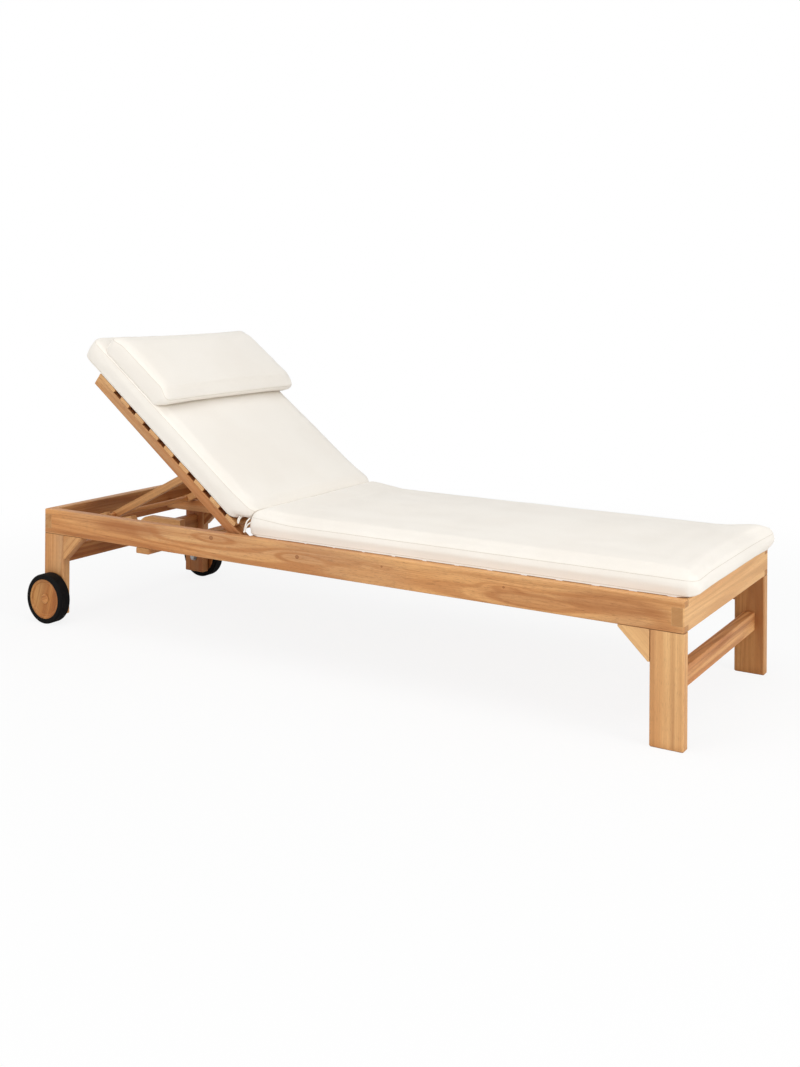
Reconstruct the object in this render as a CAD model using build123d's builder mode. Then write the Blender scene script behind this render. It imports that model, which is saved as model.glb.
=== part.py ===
from build123d import *
from math import atan2, cos, degrees, hypot, radians, sin
import os

os.makedirs("parts", exist_ok=True)

# Wheeled sun lounger with a slatted seat, a reclining back and three loose cushions.
# Lengths are millimetres and angles are degrees. +X runs from the head end to the foot end,
# +Y is the left side of the person who lies on it, and the floor is at zero height.
sides = (-1, 1)
side_names = {-1: "right", 1: "left"}

# Frame of four rails on four legs
frame_length = 2000
frame_width = 670
frame_height = 335
board_thickness = 29
rail_height = 73
head_rail_drop = 12
finger_height = 16
arris_bevel = 2
corner_bevel = 3
leg_width = 80
leg_bevel = 3
head_leg_lift = 24
foot_chamfer = 2

# Gussets in the corners between the legs and the side rails
gusset_length = 76
gusset_height = 73
gusset_thickness = 25
gusset_tip = 4

# Stretchers between the legs, tenoned into them
stretcher_thickness = 29
stretcher_height = 48
foot_stretcher_lift = 115
head_stretcher_drop = 42
tenon_shoulder = 8
tenon_length = 15

# Notched racks that hold the prop, and the cross bar that they stand on
rack_length = 394
rack_thickness = 22
rack_rail_distance = 115
rack_start_height = 23
notch_height = 34
tooth_rise = 18.5
tooth_face_run = 10
tooth_offset = 89
tooth_pitch = 109
notch_floor = 20
shoulder_step = 11
shoulder_height = 60
shoulder_run = 35
tooth_tip_radius = 2
cross_bar_width = 48
cross_bar_thickness = 16

# Seat slats on a bearer along each side rail
slat_thickness = 12
slat_bevel = 1.5
bearer_width = 22
bearer_height = 30
seat_setback = 30
seat_slat_count = 13
seat_slat_width = 58
slat_end_gap = 1

# Reclining back: two stiles and two ribs under nine slats
recline_angle = 37.1
raise_range = 20
hinge_distance = 738
hinge_gap = 5
back_length = 700
stile_depth = 28
stile_thickness = 28
back_slat_count = 9
back_slat_width = 40
back_slat_gap = 31.5
top_slat_width = 76
rib_thickness = 22
rib_overlap = 16

# Prop: two arms and a bar that drops into the notches
prop_pivot_distance = 298
arm_depth = 22
arm_thickness = 20
arm_rack_gap = 3
arm_rib_gap = 0.5
prop_bar_radius = 8
prop_bar_inset = 6

# Pivot bolts
bolt_radius = 4
bolt_head_radius = 9
bolt_head_height = 4
bolt_collar_radius = 10
bolt_grip = 18
nut_width = 13
nut_height = 6
axle_radius = 5
axle_head_radius = 9
axle_head_height = 6
axle_nut_width = 17
axle_nut_height = 8
washer_radius = 12
washer_thickness = 2

# Wheels: a dished wooden disc in a rubber tyre, with a wooden cap over the axle
wheel_radius = 73.6
tyre_width = 38.3
tyre_bevel = 4
wheel_gap = 0.5
disc_radius = 58.7
disc_inset = 1.5
lip_width = 6
dish_depth = 5
dish_wall = 5
socket_radius = 14
socket_depth = 16
cap_height = 4
cap_bevel = 4
cap_depth = 6

# Seat cushion, back cushion and head pillow
cushion_margin = 30
cushion_overhang = 14
cushion_bulge = 3
seat_cushion_setback = 34
seat_edge_height = 40
seat_shoulder_height = 55
seat_crown_height = 64
back_cushion_start = 40
back_cushion_end = 790
back_edge_height = 52
back_shoulder_height = 63
back_crown_height = 69
cushion_shoulder_inset = 34
bend_inset_share = 0.33
bend_height_share = 0.67
end_softness = 30
pillow_start = 468
pillow_end = 738
pillow_edge_height = 62
pillow_shoulder_height = 74
pillow_crown_height = 80
pillow_end_softness = 45
# Distance from the end, width drawn in and height lost there, as shares of the end softness
end_distance_shares = (0, 0.25, 1)
end_draw_shares = (0.4, 0.12, 0)
end_drop_shares = (0.5, 0.2, 0)
pillow_distance_shares = (0, 0.3, 1)
pillow_draw_shares = (0.3, 0.1, 0)
pillow_drop_shares = (0.9, 0.4, 0)
waist_draw_share = 0.15

# Clearances and the overrun of every cut
fit_clearance = 0.05
running_clearance = 0.1
face_clearance = 0.2
soft_clearance = 0.3
overrun = 2

# Levels and places that follow from the sizes
wheel_overhang = wheel_radius - leg_width / 2
head_x = -(frame_length + cushion_overhang - wheel_overhang) / 2
foot_x = head_x + frame_length
frame_middle_x = (head_x + foot_x) / 2
side_y = frame_width / 2
inner_y = side_y - board_thickness
rack_middle_y = inner_y - rack_rail_distance
rail_bottom = frame_height - rail_height
head_stretcher_lift = rail_bottom - head_stretcher_drop - stretcher_height
seat_start = hinge_distance + seat_setback
seat_cushion_start = hinge_distance + seat_cushion_setback
rail_middle = frame_height - rail_height / 2
tongue_height = rail_height - 2 * finger_height
slat_bottom = frame_height - slat_thickness
hinge_x = head_x + hinge_distance
hinge_z = slat_bottom - stile_depth / 2
along = Vector(-cos(radians(recline_angle)), 0, sin(radians(recline_angle)))
hinge = Vector(hinge_x, 0, hinge_z)
rack_start = head_x + board_thickness
rack_end = rack_start + rack_length
bar_lift = prop_bar_radius + soft_clearance
face_angle = atan2(tooth_face_run, tooth_rise)
prop_foot = Vector(
    rack_start + tooth_offset + tooth_face_run + bar_lift * (1 - sin(face_angle)) / cos(face_angle),
    0,
    rail_bottom + notch_height + bar_lift,
)
prop_pivot = hinge + along * prop_pivot_distance
prop_reach = prop_pivot - prop_foot
prop_length = hypot(prop_reach.X, prop_reach.Z)
prop_angle = degrees(atan2(prop_reach.Z, prop_reach.X))
stile_outer_y = inner_y - hinge_gap
stile_inner_y = stile_outer_y - stile_thickness
arm_outer_y = rack_middle_y - rack_thickness / 2 - arm_rack_gap
arm_inner_y = arm_outer_y - arm_thickness
rib_outer_y = arm_inner_y - arm_rib_gap
rib_inner_y = rib_outer_y - rib_thickness
axle_x = head_x + leg_width / 2


def side_plane(y, x=0, z=0):
    # upright plane square to Y, with its X along the frame and its Y up
    return Plane(origin=(x, y, z), x_dir=(1, 0, 0), z_dir=(0, -1, 0))


def back_side_plane(y):
    # upright plane at y, with its X along the reclined back and its Y out of the back
    return Plane(origin=(hinge_x, y, hinge_z), x_dir=along, z_dir=(0, 1, 0))


def back_cross_plane(distance):
    # plane square to the reclined back, at a distance from the hinge
    return Plane(origin=hinge + along * distance, x_dir=(0, 1, 0), z_dir=-along)


def turning_plane(x, z):
    # plane through a cross axis, with its X along +Y and its Y the radius
    return Plane(origin=(x, 0, z), x_dir=(0, 1, 0), z_dir=(1, 0, 0))


def turn_about(x, z):
    revolve(axis=Axis((x, 0, z), (0, 1, 0)))


def save(part, label):
    part.label = label
    export_step(part, f"parts/{label}.step")
    print(label, round(part.volume))


def bevelled_board(width, thickness, bevel):
    # cross-section of a board with its four edges bevelled
    flat_width = width / 2 - bevel
    flat_thickness = thickness / 2 - bevel
    Polygon(
        (flat_width, -thickness / 2),
        (width / 2, -flat_thickness),
        (width / 2, flat_thickness),
        (flat_width, thickness / 2),
        (-flat_width, thickness / 2),
        (-width / 2, flat_thickness),
        (-width / 2, -flat_thickness),
        (-flat_width, -thickness / 2),
    )


def bore(x, y, z, radius, depth):
    # round hole along Y, as deep on each side of y
    with BuildSketch(side_plane(y)) as hole:
        with Locations((x, z)):
            Circle(radius)
    extrude(hole.sketch, amount=depth, both=True, mode=Mode.SUBTRACT)


# Side rails: each end is forked into two fingers that hold the tongue of an end rail
for side in sides:
    with BuildPart() as side_rail:
        with BuildSketch(Plane.XY.offset(rail_bottom)) as plan:
            with Locations((frame_middle_x, side * (side_y - board_thickness / 2))):
                Rectangle(frame_length, board_thickness)
            chamfer(plan.vertices().sort_by(Axis.Y)[::-side][:2], corner_bevel)
        extrude(amount=rail_height)
        chamfer(side_rail.faces().sort_by(Axis.Z)[0].edges(), arris_bevel)
        chamfer(side_rail.faces().sort_by(Axis.Z)[-1].edges(), arris_bevel)
        for slot_start in (head_x - overrun, foot_x - board_thickness):
            with BuildSketch(Plane.YZ.offset(slot_start)):
                with Locations((side * (side_y - board_thickness / 2), rail_middle)):
                    Rectangle(board_thickness + overrun, tongue_height)
            extrude(amount=board_thickness + overrun, mode=Mode.SUBTRACT)
        bore(hinge_x, side * inner_y, hinge_z, bolt_radius + fit_clearance, bolt_grip)
    save(side_rail.part, f"{side_names[side]}_side_rail")


# End rails: a tongue at each end passes through the fork of a side rail
def end_rail(start_x, drop, outer_vertices):
    with BuildPart() as rail:
        with BuildSketch(Plane.YZ.offset(start_x)):
            with Locations((0, rail_middle - drop / 2)):
                Rectangle(2 * inner_y, rail_height + drop)
        extrude(amount=board_thickness)
        chamfer(rail.edges().filter_by(Axis.Y), arris_bevel)
        with BuildSketch(Plane.XY.offset(rail_bottom + finger_height)) as plan:
            with Locations((start_x + board_thickness / 2, 0)):
                Rectangle(board_thickness, frame_width)
            chamfer(plan.vertices().group_by(Axis.X)[outer_vertices], corner_bevel)
        extrude(amount=tongue_height)
    return rail.part


save(end_rail(head_x, head_rail_drop, 0), "head_rail")
save(end_rail(foot_x - board_thickness, 0, -1), "foot_rail")

# Legs: flush under the rails, the head pair shorter because the wheels carry that end
ends = {"head": head_x, "foot": foot_x - leg_width}
leg_lifts = {"head": head_leg_lift, "foot": 0}
stretcher_lifts = {"head": head_stretcher_lift, "foot": foot_stretcher_lift}
for end, leg_start in ends.items():
    leg_middle_x = leg_start + leg_width / 2
    for side in sides:
        with BuildPart() as leg:
            with BuildSketch(Plane.XY.offset(leg_lifts[end])):
                with Locations((leg_middle_x, side * (side_y - board_thickness / 2))):
                    bevelled_board(leg_width, board_thickness, leg_bevel)
            extrude(amount=rail_bottom - leg_lifts[end])
            chamfer(leg.faces().sort_by(Axis.Z)[0].edges(), foot_chamfer)
            # mortise for the stretcher's tenon
            with BuildSketch(side_plane(side * inner_y)):
                with Locations((leg_middle_x, stretcher_lifts[end] + stretcher_height / 2)):
                    Rectangle(
                        stretcher_thickness - 2 * tenon_shoulder,
                        stretcher_height - 2 * tenon_shoulder,
                    )
            extrude(amount=-side * tenon_length, mode=Mode.SUBTRACT)
            if end == "head":
                bore(
                    axle_x,
                    side * (side_y - board_thickness / 2),
                    wheel_radius,
                    axle_radius + fit_clearance,
                    board_thickness,
                )
        save(leg.part, f"{side_names[side]}_{end}_leg")

# Stretchers between the legs, with a tenon in each leg
for end, leg_start in ends.items():
    with BuildPart() as stretcher:
        with BuildSketch(side_plane(0)):
            with Locations(
                (leg_start + leg_width / 2, stretcher_lifts[end] + stretcher_height / 2)
            ):
                bevelled_board(stretcher_thickness, stretcher_height, arris_bevel)
        extrude(amount=inner_y, both=True)
        with BuildSketch(side_plane(0)):
            with Locations(
                (leg_start + leg_width / 2, stretcher_lifts[end] + stretcher_height / 2)
            ):
                Rectangle(
                    stretcher_thickness - 2 * tenon_shoulder,
                    stretcher_height - 2 * tenon_shoulder,
                )
        extrude(amount=inner_y + tenon_length, both=True)
    save(stretcher.part, f"{end}_stretcher")

# Gussets: right triangles with blunt tips, flush with the outer faces
inner_leg_faces = {"head": head_x + leg_width, "foot": foot_x - leg_width}
inward = {"head": 1, "foot": -1}
for end, leg_face in inner_leg_faces.items():
    for side in sides:
        with BuildPart() as gusset:
            with BuildSketch(side_plane(side * (side_y - gusset_thickness / 2))):
                with BuildLine():
                    Polyline(
                        (leg_face, rail_bottom),
                        (leg_face + inward[end] * gusset_length, rail_bottom),
                        (leg_face + inward[end] * gusset_length, rail_bottom - gusset_tip),
                        (leg_face + inward[end] * gusset_tip, rail_bottom - gusset_height),
                        (leg_face, rail_bottom - gusset_height),
                        close=True,
                    )
                make_face()
            extrude(amount=gusset_thickness / 2, both=True)
        save(gusset.part, f"{side_names[side]}_{end}_gusset")

# Cross bar under the side rails, and the two notched racks that run from it to the head rail
with BuildPart() as cross_bar:
    with BuildSketch(side_plane(0)):
        with Locations((rack_end - cross_bar_width / 2, rail_bottom - cross_bar_thickness / 2)):
            bevelled_board(cross_bar_width, cross_bar_thickness, slat_bevel)
    extrude(amount=side_y, both=True)
save(cross_bar.part, "rack_cross_bar")

tip_height = notch_height + tooth_rise
tooth_tips = [tooth_offset + i * tooth_pitch for i in range(2)]
for side in sides:
    with BuildPart() as rack:
        with BuildSketch(side_plane(side * rack_middle_y, rack_start, rail_bottom)) as profile:
            with BuildLine():
                outline = [(0, 0), (0, rack_start_height)]
                for tip in tooth_tips:
                    outline.append((tip, tip_height))
                    outline.append((tip + tooth_face_run, notch_height))
                    outline.append((tip + tooth_face_run + notch_floor, notch_height))
                shoulder_start = (outline[-1][0] + shoulder_step, notch_height + shoulder_step)
                shoulder_end = (shoulder_start[0] + shoulder_run, shoulder_height)
                Polyline(*outline, shoulder_start)
                TangentArc(shoulder_end, shoulder_start, tangent=(-1, 0))
                Polyline(shoulder_end, (rack_length, shoulder_height), (rack_length, 0), (0, 0))
            make_face()
            for tip in tooth_tips:
                fillet(profile.vertices().sort_by_distance((tip, tip_height, 0))[0], tooth_tip_radius)
        extrude(amount=rack_thickness / 2, both=True)
    save(rack.part, f"{side_names[side]}_rack")

# Bearers along the side rails, and the seat slats across them
foot_rail_face = foot_x - board_thickness
deck_start = head_x + seat_start
for side in sides:
    with BuildPart() as bearer:
        with BuildSketch(Plane.YZ.offset(deck_start)):
            with Locations((side * (inner_y - bearer_width / 2), slat_bottom - bearer_height / 2)):
                bevelled_board(bearer_width, bearer_height, slat_bevel)
        extrude(amount=foot_rail_face - deck_start)
    save(bearer.part, f"{side_names[side]}_slat_bearer")

seat_slat_pitch = (foot_rail_face - deck_start) / seat_slat_count
for i in range(seat_slat_count):
    with BuildPart() as seat_slat:
        with BuildSketch(side_plane(0)):
            with Locations(
                (
                    deck_start + i * seat_slat_pitch + seat_slat_width / 2,
                    frame_height - slat_thickness / 2,
                )
            ):
                bevelled_board(seat_slat_width, slat_thickness, slat_bevel)
        extrude(amount=inner_y - slat_end_gap, both=True)
    save(seat_slat.part, f"seat_slat_{i + 1}")

# Back stiles: round at the hinge and square at the top
for side in sides:
    stile_y = side * (stile_inner_y + stile_thickness / 2)
    with BuildPart() as stile:
        with BuildSketch(back_side_plane(stile_y)):
            Circle(stile_depth / 2)
            with Locations((back_length / 2, 0)):
                Rectangle(back_length, stile_depth)
            Circle(bolt_radius + running_clearance, mode=Mode.SUBTRACT)
        extrude(amount=stile_thickness / 2, both=True)
        chamfer(stile.edges().filter_by(Axis(hinge, along)), slat_bevel)
    save(stile.part, f"{side_names[side]}_back_stile")

# Back ribs: inside the stiles, drilled for the prop's pivot
top_slat_start = back_length - top_slat_width
back_slat_pitch = back_slat_width + back_slat_gap
lowest_slat_start = top_slat_start - (back_slat_count - 1) * back_slat_pitch
rib_end = top_slat_start + rib_overlap
for side in sides:
    with BuildPart() as rib:
        with BuildSketch(back_side_plane(side * (rib_inner_y + rib_thickness / 2))):
            with Locations(((lowest_slat_start + rib_end) / 2, 0)):
                Rectangle(rib_end - lowest_slat_start, stile_depth)
            with Locations((prop_pivot_distance, 0)):
                Circle(bolt_radius + fit_clearance, mode=Mode.SUBTRACT)
        extrude(amount=rib_thickness / 2, both=True)
    save(rib.part, f"{side_names[side]}_back_rib")


# Back slats: eight narrow ones and a wide one at the top
def back_slat(start, width):
    with BuildPart() as slat:
        with BuildSketch(back_side_plane(0)):
            with Locations((start + width / 2, stile_depth / 2 + slat_thickness / 2)):
                bevelled_board(width, slat_thickness, slat_bevel)
        extrude(amount=stile_outer_y, both=True)
    return slat.part


for i in range(back_slat_count - 1):
    save(back_slat(lowest_slat_start + i * back_slat_pitch, back_slat_width), f"back_slat_{i + 1}")
save(back_slat(top_slat_start, top_slat_width), f"back_slat_{back_slat_count}")

# Prop: round-ended arms outside the ribs, joined by the bar that lies in the notches
for side in sides:
    arm_y = side * (arm_inner_y + arm_thickness / 2)
    with BuildPart() as arm:
        with BuildSketch(side_plane(arm_y, prop_foot.X, prop_foot.Z)):
            with Locations(Location((prop_reach.X / 2, prop_reach.Z / 2), prop_angle)):
                SlotCenterToCenter(prop_length, arm_depth)
            Circle(prop_bar_radius + fit_clearance, mode=Mode.SUBTRACT)
            with Locations((prop_reach.X, prop_reach.Z)):
                Circle(bolt_radius + running_clearance, mode=Mode.SUBTRACT)
        extrude(amount=arm_thickness / 2, both=True)
    save(arm.part, f"{side_names[side]}_prop_arm")

with BuildPart() as prop_bar:
    with BuildSketch(side_plane(0)):
        with Locations((prop_foot.X, prop_foot.Z)):
            Circle(prop_bar_radius)
    extrude(amount=rack_middle_y + rack_thickness / 2 - prop_bar_inset, both=True)
save(prop_bar.part, "prop_bar")

# Hinge bolts: a collar keeps the stile off the rail, and the end is set in the rail
with BuildPart() as hinge_bolts:
    with BuildSketch(turning_plane(hinge_x, hinge_z)):
        with BuildLine():
            Polyline(
                (stile_inner_y - face_clearance - bolt_head_height, 0),
                (stile_inner_y - face_clearance - bolt_head_height, bolt_head_radius),
                (stile_inner_y - face_clearance, bolt_head_radius),
                (stile_inner_y - face_clearance, bolt_radius),
                (stile_outer_y + face_clearance, bolt_radius),
                (stile_outer_y + face_clearance, bolt_collar_radius),
                (inner_y, bolt_collar_radius),
                (inner_y, bolt_radius),
                (inner_y + bolt_grip - face_clearance, bolt_radius),
                (inner_y + bolt_grip - face_clearance, 0),
                close=True,
            )
        make_face()
    turn_about(hinge_x, hinge_z)
    mirror(about=Plane.XZ)
save(hinge_bolts.part, "hinge_bolts")

# Prop bolts: the head is outside the arm and the nut is inside the rib
with BuildPart() as prop_bolts:
    with BuildSketch(turning_plane(prop_pivot.X, prop_pivot.Z)):
        with BuildLine():
            Polyline(
                (rib_inner_y - nut_height, 0),
                (rib_inner_y - nut_height, bolt_radius),
                (arm_outer_y + face_clearance, bolt_radius),
                (arm_outer_y + face_clearance, bolt_head_radius),
                (arm_outer_y + face_clearance + bolt_head_height, bolt_radius),
                (arm_outer_y + face_clearance + bolt_head_height, 0),
                close=True,
            )
        make_face()
    turn_about(prop_pivot.X, prop_pivot.Z)
    with BuildSketch(side_plane(rib_inner_y)):
        with Locations((prop_pivot.X, prop_pivot.Z)):
            RegularPolygon(nut_width / 2, 6, major_radius=False)
    extrude(amount=nut_height)
    mirror(about=Plane.XZ)
save(prop_bolts.part, "prop_bolts")

# Axle bolts: the head is in the disc's socket, with a washer and nut inside the leg
wheel_inner_y = side_y + wheel_gap
wheel_outer_y = wheel_inner_y + tyre_width
disc_outer_y = wheel_outer_y - disc_inset
dish_y = disc_outer_y - dish_depth
socket_y = dish_y - socket_depth
with BuildPart() as axle_bolts:
    with BuildSketch(turning_plane(axle_x, wheel_radius)):
        with BuildLine():
            Polyline(
                (inner_y - washer_thickness - axle_nut_height, 0),
                (inner_y - washer_thickness - axle_nut_height, axle_radius),
                (inner_y - washer_thickness, axle_radius),
                (inner_y - washer_thickness, washer_radius),
                (inner_y, washer_radius),
                (inner_y, axle_radius),
                (socket_y + face_clearance, axle_radius),
                (socket_y + face_clearance, axle_head_radius),
                (socket_y + face_clearance + axle_head_height, axle_head_radius),
                (socket_y + face_clearance + axle_head_height, 0),
                close=True,
            )
        make_face()
    turn_about(axle_x, wheel_radius)
    with BuildSketch(side_plane(inner_y - washer_thickness)):
        with Locations((axle_x, wheel_radius)):
            RegularPolygon(axle_nut_width / 2, 6, major_radius=False)
    extrude(amount=axle_nut_height)
    mirror(about=Plane.XZ)
save(axle_bolts.part, "axle_bolts")

# Wheels
for side in sides:
    with BuildPart() as tyre:
        with BuildSketch(turning_plane(axle_x, wheel_radius)):
            with BuildLine():
                Polyline(
                    (side * wheel_inner_y, disc_radius + fit_clearance),
                    (side * wheel_inner_y, wheel_radius - tyre_bevel),
                    (side * (wheel_inner_y + tyre_bevel), wheel_radius),
                    (side * (wheel_outer_y - tyre_bevel), wheel_radius),
                    (side * wheel_outer_y, wheel_radius - tyre_bevel),
                    (side * wheel_outer_y, disc_radius + fit_clearance),
                    close=True,
                )
            make_face()
        turn_about(axle_x, wheel_radius)
    save(tyre.part, f"{side_names[side]}_wheel_tyre")

    lip_inner_radius = disc_radius - lip_width
    cap_radius = socket_radius - fit_clearance
    with BuildPart() as disc:
        with BuildSketch(turning_plane(axle_x, wheel_radius)):
            with BuildLine():
                Polyline(
                    (side * wheel_inner_y, axle_radius + running_clearance),
                    (side * wheel_inner_y, disc_radius),
                    (side * disc_outer_y, disc_radius),
                    (side * disc_outer_y, lip_inner_radius),
                    (side * dish_y, lip_inner_radius - dish_wall),
                    (side * dish_y, socket_radius),
                    (side * socket_y, socket_radius),
                    (side * socket_y, axle_radius + running_clearance),
                    close=True,
                )
            make_face()
        turn_about(axle_x, wheel_radius)
    save(disc.part, f"{side_names[side]}_wheel_disc")

    with BuildPart() as cap:
        with BuildSketch(turning_plane(axle_x, wheel_radius)):
            with BuildLine():
                Polyline(
                    (side * (dish_y - cap_depth), 0),
                    (side * (dish_y - cap_depth), cap_radius),
                    (side * (dish_y + cap_height - cap_bevel / 2), cap_radius),
                    (side * (dish_y + cap_height), cap_radius - cap_bevel),
                    (side * (dish_y + cap_height), 0),
                    close=True,
                )
            make_face()
        turn_about(axle_x, wheel_radius)
    save(cap.part, f"{side_names[side]}_wheel_cap")


# Cushions: boxed, with an upright side band up to the seam and a crowned top panel
def top_panel(half, seam, shoulder, crown):
    # line of the top panel across the width, from one seam over the crown to the other
    inset = half - cushion_shoulder_inset
    bend = half - cushion_shoulder_inset * bend_inset_share
    bend_height = seam + (shoulder - seam) * bend_height_share
    ThreePointArc((half, seam), (bend, bend_height), (inset, shoulder))
    ThreePointArc((inset, shoulder), (0, crown), (-inset, shoulder))
    ThreePointArc((-inset, shoulder), (-bend, bend_height), (-half, seam))


def cushion_face(half, bottom, edge, shoulder, crown):
    with BuildLine() as outline:
        Line((-half, bottom), (half, bottom))
        ThreePointArc((half, bottom), (half + cushion_bulge, bottom + edge / 2), (half, bottom + edge))
        top_panel(half, bottom + edge, bottom + shoulder, bottom + crown)
        ThreePointArc((-half, bottom + edge), (-half - cushion_bulge, bottom + edge / 2), (-half, bottom))
    make_face(outline.edges())


def cushion_stations(start, end, softness, distances, draws, drops):
    # places along the cushion with the width drawn in and the height lost at each
    near = [
        (start + distance * softness, draw * softness, drop * softness)
        for distance, draw, drop in zip(distances, draws, drops)
    ]
    far = [(start + end - place, draw, drop) for place, draw, drop in reversed(near)]
    return near, far


cushion_half = side_y - cushion_margin - cushion_bulge
waist = waist_draw_share * end_softness
end_shares = (end_distance_shares, end_draw_shares, end_drop_shares)

with BuildPart() as seat_cushion:
    start, end = head_x + seat_cushion_start, foot_x + cushion_overhang
    near, far = cushion_stations(start, end, end_softness, *end_shares)
    for x, draw, drop in [*near, ((start + end) / 2, waist, 0), *far]:
        with BuildSketch(Plane.YZ.offset(x)):
            cushion_face(
                cushion_half - draw,
                frame_height + soft_clearance,
                seat_edge_height - drop,
                seat_shoulder_height - drop,
                seat_crown_height - drop,
            )
    loft(ruled=True)
save(seat_cushion.part, "seat_cushion")

back_bottom = stile_depth / 2 + slat_thickness + soft_clearance
back_seam = back_bottom + back_edge_height
raised = radians(recline_angle + raise_range)
fold_reach = seat_cushion_start - hinge_distance - 2 * soft_clearance


def fold_line(height):
    # distance from the hinge at which the raised back just clears the seat cushion
    return (height * sin(raised) - fold_reach) / cos(raised)


with BuildPart() as back_cushion:
    near, far = cushion_stations(back_cushion_start, back_cushion_end, end_softness, *end_shares)
    for place, draw, drop in [*near, *far]:
        with BuildSketch(back_cross_plane(place)):
            cushion_face(
                cushion_half - draw,
                back_bottom,
                back_edge_height - drop,
                back_shoulder_height - drop,
                back_crown_height - drop,
            )
    loft(ruled=True)
    # the lower end slopes so that it meets the seat cushion only when the back is fully raised
    fold_top = back_bottom + back_crown_height + overrun
    with BuildSketch(back_side_plane(0)):
        with BuildLine():
            Polyline(
                (fold_line(back_bottom), back_bottom),
                (fold_line(fold_top), fold_top),
                (fold_line(back_bottom), fold_top),
                close=True,
            )
        make_face()
    extrude(amount=side_y, both=True, mode=Mode.SUBTRACT)
save(back_cushion.part, "back_cushion")

# Head pillow: lies over the top panel of the back cushion and follows its shoulders
with BuildPart() as head_pillow:
    near, far = cushion_stations(
        pillow_start,
        pillow_end,
        pillow_end_softness,
        pillow_distance_shares,
        pillow_draw_shares,
        pillow_drop_shares,
    )
    for place, draw, drop in [*near, *far]:
        with BuildSketch(back_cross_plane(place)):
            seam = back_seam + pillow_edge_height - drop
            with BuildLine() as outline:
                top_panel(
                    cushion_half,
                    back_seam + soft_clearance,
                    back_bottom + back_shoulder_height + soft_clearance,
                    back_bottom + back_crown_height + soft_clearance,
                )
                top_panel(
                    cushion_half - draw,
                    seam,
                    back_seam + pillow_shoulder_height - drop,
                    back_seam + pillow_crown_height - drop,
                )
                for side in sides:
                    ThreePointArc(
                        (side * cushion_half, back_seam + soft_clearance),
                        (side * (cushion_half + cushion_bulge - draw / 2), (back_seam + seam) / 2),
                        (side * (cushion_half - draw), seam),
                    )
            make_face()
    loft(ruled=True)
save(head_pillow.part, "head_pillow")
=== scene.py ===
import bpy
import bmesh
import math
import numpy as np
from mathutils import Matrix, Quaternion, Vector, noise
from mathutils.bvhtree import BVHTree
from mathutils.kdtree import KDTree


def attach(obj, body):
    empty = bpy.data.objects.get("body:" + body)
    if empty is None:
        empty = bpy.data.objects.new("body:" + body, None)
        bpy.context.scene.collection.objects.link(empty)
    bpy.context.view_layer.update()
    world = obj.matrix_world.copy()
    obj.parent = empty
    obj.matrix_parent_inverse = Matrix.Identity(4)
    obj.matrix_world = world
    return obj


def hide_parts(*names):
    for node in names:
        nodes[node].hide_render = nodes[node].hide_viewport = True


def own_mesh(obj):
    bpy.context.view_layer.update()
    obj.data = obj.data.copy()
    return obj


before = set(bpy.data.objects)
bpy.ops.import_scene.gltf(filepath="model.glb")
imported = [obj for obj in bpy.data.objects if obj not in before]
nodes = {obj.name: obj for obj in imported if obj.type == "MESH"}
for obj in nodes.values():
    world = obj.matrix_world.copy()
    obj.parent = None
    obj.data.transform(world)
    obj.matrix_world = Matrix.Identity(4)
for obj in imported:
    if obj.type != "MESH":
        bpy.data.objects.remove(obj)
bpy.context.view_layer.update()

scene = bpy.context.scene
print("frame loaded:", len(nodes), "nodes")

# places that the CAD model settles, in metres
hinge = Vector((-0.2522, 0, 0.309))
recline = math.radians(37.1)
alongBack = Vector((-math.cos(recline), 0, math.sin(recline)))
outOfBack = Vector((math.sin(recline), 0, math.cos(recline)))
propFoot = Vector((-0.85725, 0, 0.3043))
propPivot = Vector((-0.48988, 0, 0.48876))
railTop = 0.335

view = {
    "place": (1.9262, -3.0335, 1.0527),
    "heading": 0.5512689,      # radians to the left of +Y
    "pitch": 0.00053,
    "roll": 0.0062936,
    "lens": 42.56,
    "shift": (0.0008, -0.2425),
}


def newObject(name, data):
    made = bpy.data.objects.new(name, data)
    scene.collection.objects.link(made)
    return made


def addCamera():
    a, p, r = view["heading"], view["pitch"], view["roll"]
    forward = Vector((-math.sin(a) * math.cos(p), math.cos(a) * math.cos(p), -math.sin(p)))
    right = Vector((math.cos(a), math.sin(a), 0))
    up = right.cross(forward)
    rolledRight = right * math.cos(r) + up * math.sin(r)
    rolledUp = up * math.cos(r) - right * math.sin(r)
    data = bpy.data.cameras.new("photoCamera")
    data.sensor_width = 36
    data.lens = view["lens"]
    data.shift_x, data.shift_y = view["shift"]
    data.clip_end = 60
    camera = newObject("photoCamera", data)
    turn = Matrix((rolledRight, rolledUp, -forward)).transposed().to_4x4()
    camera.matrix_world = Matrix.Translation(view["place"]) @ turn
    scene.camera = camera


addCamera()
print("camera placed")


def srgb(r, g, b):
    # colour as it is read off a screen, 0 to 255, to the linear values that a shader takes
    return tuple(((c / 255 + 0.055) / 1.055) ** 2.4 if c > 10 else c / 255 / 12.92
                 for c in (r, g, b))


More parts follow.
